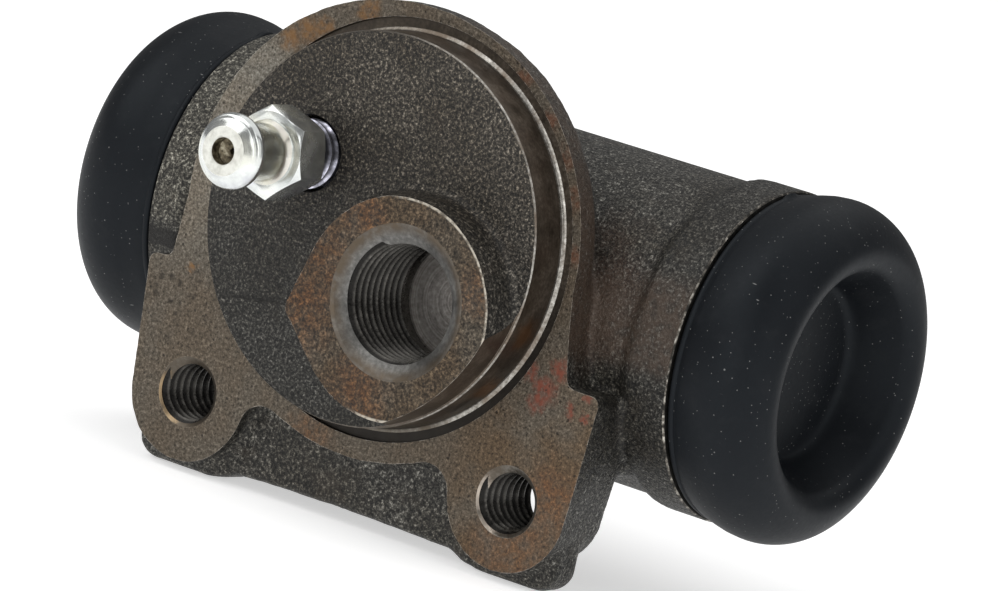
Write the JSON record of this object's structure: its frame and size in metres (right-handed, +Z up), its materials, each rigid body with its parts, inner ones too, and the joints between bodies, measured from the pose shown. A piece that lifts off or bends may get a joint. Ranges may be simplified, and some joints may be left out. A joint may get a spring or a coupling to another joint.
{
  "type": "wheel cylinder",
  "caption": "Drum-brake hydraulic wheel cylinder: cast iron housing with flange, spigot, inlet port and tapped ears, opposed pistons under rubber dust boots, and a bleed screw.",
  "frame": {"origin": "midway between the axes of the two tapped ear holes, on the machined mounting face", "axes": "+X along the barrel towards the right boot, -Y out of the mounting face towards the backing plate, +Z up, away from the ears"},
  "size_m": [0.0734, 0.0484, 0.0449],
  "materials": {
    "cast_iron": "rough sand-cast skin with brownish machined faces and light surface rust",
    "zinc_plate": "bright zinc plate with faint iridescence",
    "boot_rubber": "satin black moulded rubber with fine dust",
    "seal_rubber": "smooth black rubber",
    "piston_alloy": "turned and anodised",
    "spring_steel": "bright drawn and pressed steel"
  },
  "bodies": {
    "housing": {"housing": "cast_iron", "left_dust_boot": "boot_rubber", "right_dust_boot": "boot_rubber", "cup_spring": "spring_steel"},
    "left_piston": {"left_piston": "piston_alloy", "left_cup_seal": "seal_rubber", "left_cup_expander": "spring_steel"},
    "right_piston": {"right_piston": "piston_alloy", "right_cup_seal": "seal_rubber", "right_cup_expander": "spring_steel"},
    "bleed_screw": {"bleed_screw": "zinc_plate"}
  },
  "joints": [
    {"name": "left_piston_slide", "type": "slide", "parent": "housing", "child": "left_piston", "axis": [-1, 0, 0], "range_m": [-0.0015, 0.005], "stiffness_N_per_m": 1500, "deforming": ["left_dust_boot", "cup_spring"]},
    {"name": "right_piston_slide", "type": "slide", "parent": "housing", "child": "right_piston", "axis": [1, 0, 0], "range_m": [-0.0015, 0.005], "stiffness_N_per_m": 1500, "deforming": ["right_dust_boot", "cup_spring"]},
    {"name": "bleed_screw_turn", "type": "hinge", "parent": "housing", "child": "bleed_screw", "pos_m": [-0.0076, -0.0099, 0.0236], "axis": [0, -1, 0], "range_deg": [0, 360]}
  ]
}
